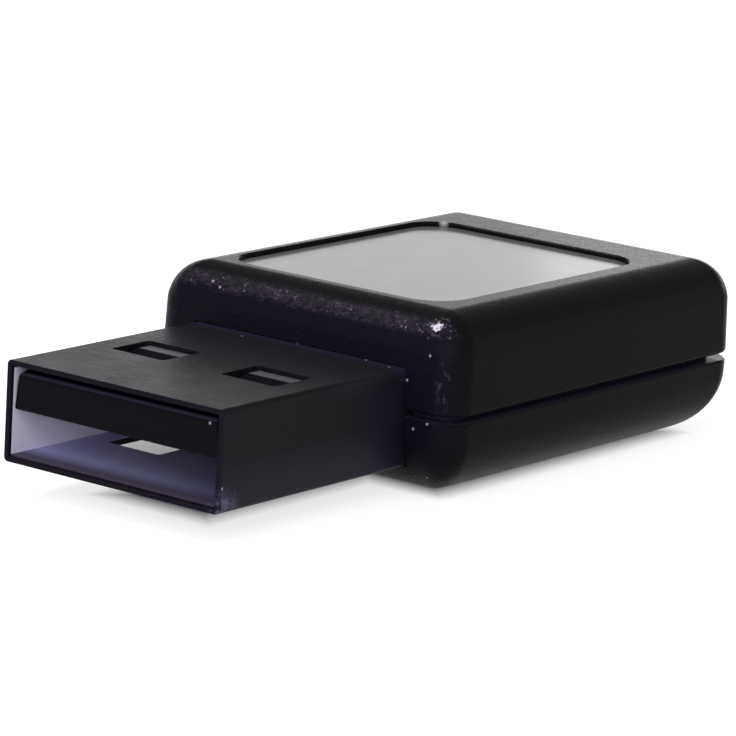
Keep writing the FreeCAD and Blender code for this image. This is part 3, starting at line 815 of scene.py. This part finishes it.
def tinned_finish(node, dark, light, share):
    """A fired body with a tinned band at each end of its long side."""
    low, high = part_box(node)
    size = high - low
    middle = (low + high) / 2
    axis = 0 if size.x > size.y else 1
    edge = size[axis] * (0.5 - share)

    def at_ends(tree, place):
        outward = off_middle(tree, axes(tree, place)[axis], middle[axis])
        return faded(tree, outward, edge - tin_edge, edge)

    return half_metal_finish("tinned_" + node, at_ends, fired_grain, dark, light, fired_roughness)


print("tinned ends take", end_share, "of a block's length")

# %% [markdown]
# ## Chips with leads
# A flat chip is dull black resin all through. A chip with bent leads is the same resin with
# tinned leads that stand out past its sides. How far a point lies from the chip's middle line
# tells resin from lead, in the same way as before.

# %% Chip finishes
resin_dark = plain(0.012, 0.012, 0.013)
resin_light = plain(0.022, 0.022, 0.024)
resin_grain = 6500
resin_roughness = (0.42, 0.60)
lead_root_share = 0.286
lead_edge = 0.00001
leaded_nodes = ("surge_guard", "voltage_regulator")


def leaded_finish(node):
    """Black resin with tinned leads along both long sides."""
    low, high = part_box(node)
    middle = (low + high) / 2
    edge = (high.y - low.y) * lead_root_share

    def on_leads(tree, place):
        outward = off_middle(tree, axes(tree, place)[1], middle.y)
        return faded(tree, outward, edge, edge + lead_edge)

    return half_metal_finish("leaded_" + node, on_leads, resin_grain, resin_dark, resin_light,
                             resin_roughness)


def resin_finish():
    """Dull black resin of the flat chips."""
    material, tree, shader, place = start_finish("chip_resin")
    grain = noise(tree, place, resin_grain, detail=3.0, roughness=0.6)
    fill(tree, shader, {"Base Color": mixed(tree, grain, resin_dark, resin_light),
                        "Roughness": uneven(tree, grain, *resin_roughness)})
    bump(tree, shader, grain, body_grain_depth)
    return material


print("chips with leads:", leaded_nodes)

# %% [markdown]
# ## Smooth-shaded copies
# A node of the frame is made of loose triangles, which shade as flats. Its own mesh has to stay as
# it is, so a copy is dressed in its place: its points are merged, faces that meet at a small
# angle are smoothed, and weighted normals keep the broad faces flat beside the round ones. The
# film's copy is lifted a hair in its pocket, so that the dark line around it stays as thin as on
# the real stick.

# %% Smooth-shaded copies
smooth_angle = math.radians(32)
merge_distance = 1e-7
film_top_margin = 0.00002
film_lift_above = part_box("label_film")[1].z - film_top_margin
film_lift = 0.00007


def dressed_copy(node):
    """A smooth-shaded copy of a node that stands for it."""
    original = frame["nodes"][node]
    piece = bpy.data.objects.new(node + "_dressed", original.data.copy())
    bpy.context.scene.collection.objects.link(piece)
    bpy.ops.object.select_all(action="DESELECT")
    piece.select_set(True)
    bpy.context.view_layer.objects.active = piece
    bpy.ops.object.mode_set(mode="EDIT")
    bpy.ops.mesh.select_all(action="SELECT")
    bpy.ops.mesh.customdata_custom_splitnormals_clear()
    bpy.ops.mesh.remove_doubles(threshold=merge_distance)
    bpy.ops.object.mode_set(mode="OBJECT")
    bpy.ops.object.shade_smooth_by_angle(angle=smooth_angle)
    bpy.ops.object.modifier_add(type="WEIGHTED_NORMAL")
    piece.modifiers[-1].keep_sharp = True
    bpy.ops.object.modifier_apply(modifier=piece.modifiers[-1].name)
    for point in piece.data.vertices:
        if node == "label_film" and point.co.z > film_lift_above:
            point.co.z += film_lift
    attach(piece, "root")
    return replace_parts(piece, node)


print("faces that meet at up to", round(math.degrees(smooth_angle)), "degrees are smoothed")

# %% [markdown]
# ## Dress the pieces
# The record names a material slot for each piece. Most slots have one finish for all their pieces.
# A block with tinned ends or a chip with leads gets its own, since its ends lie in their own place.
# The original takes the same finish as its copy, so that neither is ever seen bare.

# %% Dress the pieces
shared = {
    "housing": housing_finish(),
    "label_film": film_finish(),
    "plug_metal": shell_finish(),
    "insulator": insulator_finish(),
    "board_laminate": board_finish(),
    "chip_epoxy": resin_finish(),
    **sheet_finishes,
}


def finish_for(node, slot_name):
    """The finish that a node's slot calls for."""
    if node in leaded_nodes:
        return leaded_finish(node)
    if slot_name in tinned_tones:
        return tinned_finish(node, *tinned_tones[slot_name])
    return shared[slot_name]


for entry in frame["record"]["subparts"]:
    piece = dressed_copy(entry["node"])
    finish = finish_for(entry["node"], entry["material_slot"])
    for dressed in (piece, frame["nodes"][entry["node"]]):
        for material_slot in dressed.material_slots:
            material_slot.material = finish

# %% [markdown]
# ## The table
# The stick lies on a white table that runs up into a white background with no line between them.
# A brighter lamp would bleach the stick, so the white is a glow of the table's own surface that
# only the camera and mirrors see. The glow is left out under the stick and in the inner corner
# behind the plug, which paints a shadow there, and the lamps still draw the real soft shadow round
# it.

# %% Table
table_half = 3.0
table_tone = plain(0.50, 0.50, 0.50)
table_light = plain(0.52, 0.52, 0.52)
table_clouds = 40
table_roughness = 0.9
table_glow = 0.74
mirrored_glow = 0.46
white = plain(1, 1, 1)
# How much glow is left in the painted shadow under the stick and in the inner corner.
painted_shadow_share = 0.05
covered_depths = (-0.0030, -0.0012)
plug_lift = Vector((0.0012, 0.0012, 0.0))
corner_shadow_mm = (-5.9, 7.3, 0.0)
corner_shadow_fade = (0.0019, 0.0055)


def seen_in_mirror(tree, ray):
    """A share that is full for rays that came off a mirror or through glass."""
    return maths(tree, "MAXIMUM", ray.outputs["Is Glossy Ray"],
                 ray.outputs["Is Transmission Ray"])


def beyond(tree, value, low, high):
    """How far a value lies outside a range, and below zero inside it."""
    return maths(tree, "SUBTRACT", off_middle(tree, value, (low + high) / 2), (high - low) / 2)


def glow_outside_painted_shadow(tree, place):
    """A share that is full on the open table and low where the glow is left out as painted shadow.
    """
    x, y, _ = axes(tree, place)
    plug_low, plug_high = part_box("plug_shell")
    gap = far_away
    for low, high in (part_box("lower_cover"), (plug_low + plug_lift, plug_high - plug_lift)):
        outside = maths(tree, "MAXIMUM", beyond(tree, x, low.x, high.x),
                        beyond(tree, y, low.y, high.y))
        gap = maths(tree, "MINIMUM", gap, outside)
    from_corner = nearest(tree, place, [corner_shadow_mm])
    return times(tree, faded(tree, gap, *covered_depths, painted_shadow_share, 1.0),
                 faded(tree, from_corner, *corner_shadow_fade, painted_shadow_share, 1.0))


def table_finish():
    """A pale table that the camera and mirrors see as white apart from the real and painted shadow.
    """
    material, tree, shader, place = start_finish("table_white")
    ray = tree.nodes.new("ShaderNodeLightPath")
    glow_share = glow_outside_painted_shadow(tree, place)
    seen = times(tree, ray.outputs["Is Camera Ray"], times(tree, glow_share, table_glow))
    mirrored = times(tree, seen_in_mirror(tree, ray), times(tree, glow_share, mirrored_glow))
    clouds = noise(tree, place, table_clouds, detail=3.0)
    fill(tree, shader, {
        "Base Color": mixed(tree, clouds, table_tone, table_light),
        "Roughness": table_roughness, "Specular IOR Level": 0.0,
        "Emission Color": white, "Emission Strength": maths(tree, "ADD", seen, mirrored)})
    return material


bpy.ops.object.select_all(action="DESELECT")
bpy.ops.mesh.primitive_plane_add(size=2 * table_half, location=(0, 0, 0))
table_top = bpy.context.object
table_top.name = "table_top"
table_top.data.materials.append(table_finish())
table_top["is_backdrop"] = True
print("table", 2 * table_half, "m wide")

# %% [markdown]
# ## The background
# The room is a white world. The camera and mirrors see its full white, so that gloss and metal
# have something bright to show, and it falls off to a darker ceiling above. All other rays get a
# lower level, which lights the stick without bleaching it.

# %% Background
room_level = 0.55
backdrop_top = 0.22
ceiling_start = 0.42
ceiling_level = 0.42
world = bpy.data.worlds.new("white_room")
bpy.context.scene.world = world
world.use_nodes = True
room = world.node_tree
room_ray = room.nodes.new("ShaderNodeLightPath")
room_seen = maths(room, "MAXIMUM", room_ray.outputs["Is Camera Ray"],
                  seen_in_mirror(room, room_ray))
upward = axes(room, room.nodes.new("ShaderNodeTexCoord").outputs["Generated"])[2]
backdrop = faded(room, upward, backdrop_top, ceiling_start, 1.0, ceiling_level)
backdrop_share = times(room, room_seen, backdrop)
room_share = times(room, between(room, room_seen, 1, 0), room_level)
strength = maths(room, "ADD", backdrop_share, room_share)
fill(room, room.nodes["Background"], {"Color": white, "Strength": strength})
print("room level", room_level, "and ceiling level", ceiling_level)

# %% [markdown]
# ## The lamps
# Soft lamps light the stick, as in a small product studio. One strong lamp would leave the mouth
# dark and bleach the rest. Here a large one near the camera lights the inside of the plug, and a
# small one above and behind draws the sparkle along the rounded front edge.

# %% Lamps
mouth_lamp = {"place": (-0.42, -0.22, 0.20), "width": 0.60, "height": 0.50, "power": 2.2}
edge_lamp = {"place": (-0.132, 0.354, 0.468), "width": 0.15, "height": 0.15, "power": 1.3}
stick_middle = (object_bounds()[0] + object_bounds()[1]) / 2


def soft_lamp(name, place, aim, width, height, power):
    """A soft rectangular lamp that faces a point and stays out of the picture."""
    data = bpy.data.lights.new(name, "AREA")
    data.shape = "RECTANGLE"
    data.size = width
    data.size_y = height
    data.energy = power
    lamp = bpy.data.objects.new(name, data)
    bpy.context.scene.collection.objects.link(lamp)
    lamp.location = place
    lamp.rotation_euler = (Vector(aim) - Vector(place)).to_track_quat("-Z", "Y").to_euler()
    lamp.visible_camera = False
    return lamp


lamps = [
    soft_lamp("mouth_lamp", aim=stick_middle, **mouth_lamp),
    soft_lamp("edge_lamp", aim=stick_middle, **edge_lamp),
]
print("lamps:", [lamp.name for lamp in lamps])

# %% [markdown]
# ## The standing panels
# Two low panels stand behind the stick, side by side, and its top faces mirror them. A picture of
# a bright room would be mirrored too, but a panel's edge can be set just where it has to be seen:
# where the second, brighter panel begins, the film turns lighter. A panel's power follows from how
# bright it should look, so its size can be changed by itself.

# %% Standing panels
film_step = Vector((0.01024, -0.00226, 0.00815))
step_direction = math.radians(34.6)
panel_distance = 0.80
panel_width = 1.00
panel_height = 0.20
panel_middle_height = 0.12
left_panel_level = 0.82
right_panel_level = 1.82


def level_power(level, width, height):
    """The power in watts that makes a panel look as bright as a level of white."""
    return level * math.pi * width * height


def standing_panel(name, aside, level):
    """An upright panel across the direction in which the film's step is mirrored."""
    along = Vector((math.cos(step_direction), math.sin(step_direction), 0))
    right = Vector((math.sin(step_direction), -math.cos(step_direction), 0))
    place = film_step + panel_distance * along + aside * right
    place.z = panel_middle_height
    return soft_lamp(name, place, place - panel_distance * along, panel_width, panel_height,
                     level_power(level, panel_width, panel_height))


panels = [
    standing_panel("left_panel", -panel_width / 2, left_panel_level),
    standing_panel("right_panel", panel_width / 2, right_panel_level),
]
print("panels:", [panel.name for panel in panels])

# %% [markdown]
# ## Sizes
# The looks may not change the object's size. The box around the solids and the box around the
# dressed pieces are both measured, and how far the dressed pieces reach past the solids at the
# upper corner is printed.

# %% Write the sizes and finish
visual_box = [list(corner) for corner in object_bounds()]
growth = [round((b - a) * mm_in_metre, 4) for a, b in zip(cad_box[1], visual_box[1])]
print("grown by", growth, "mm")
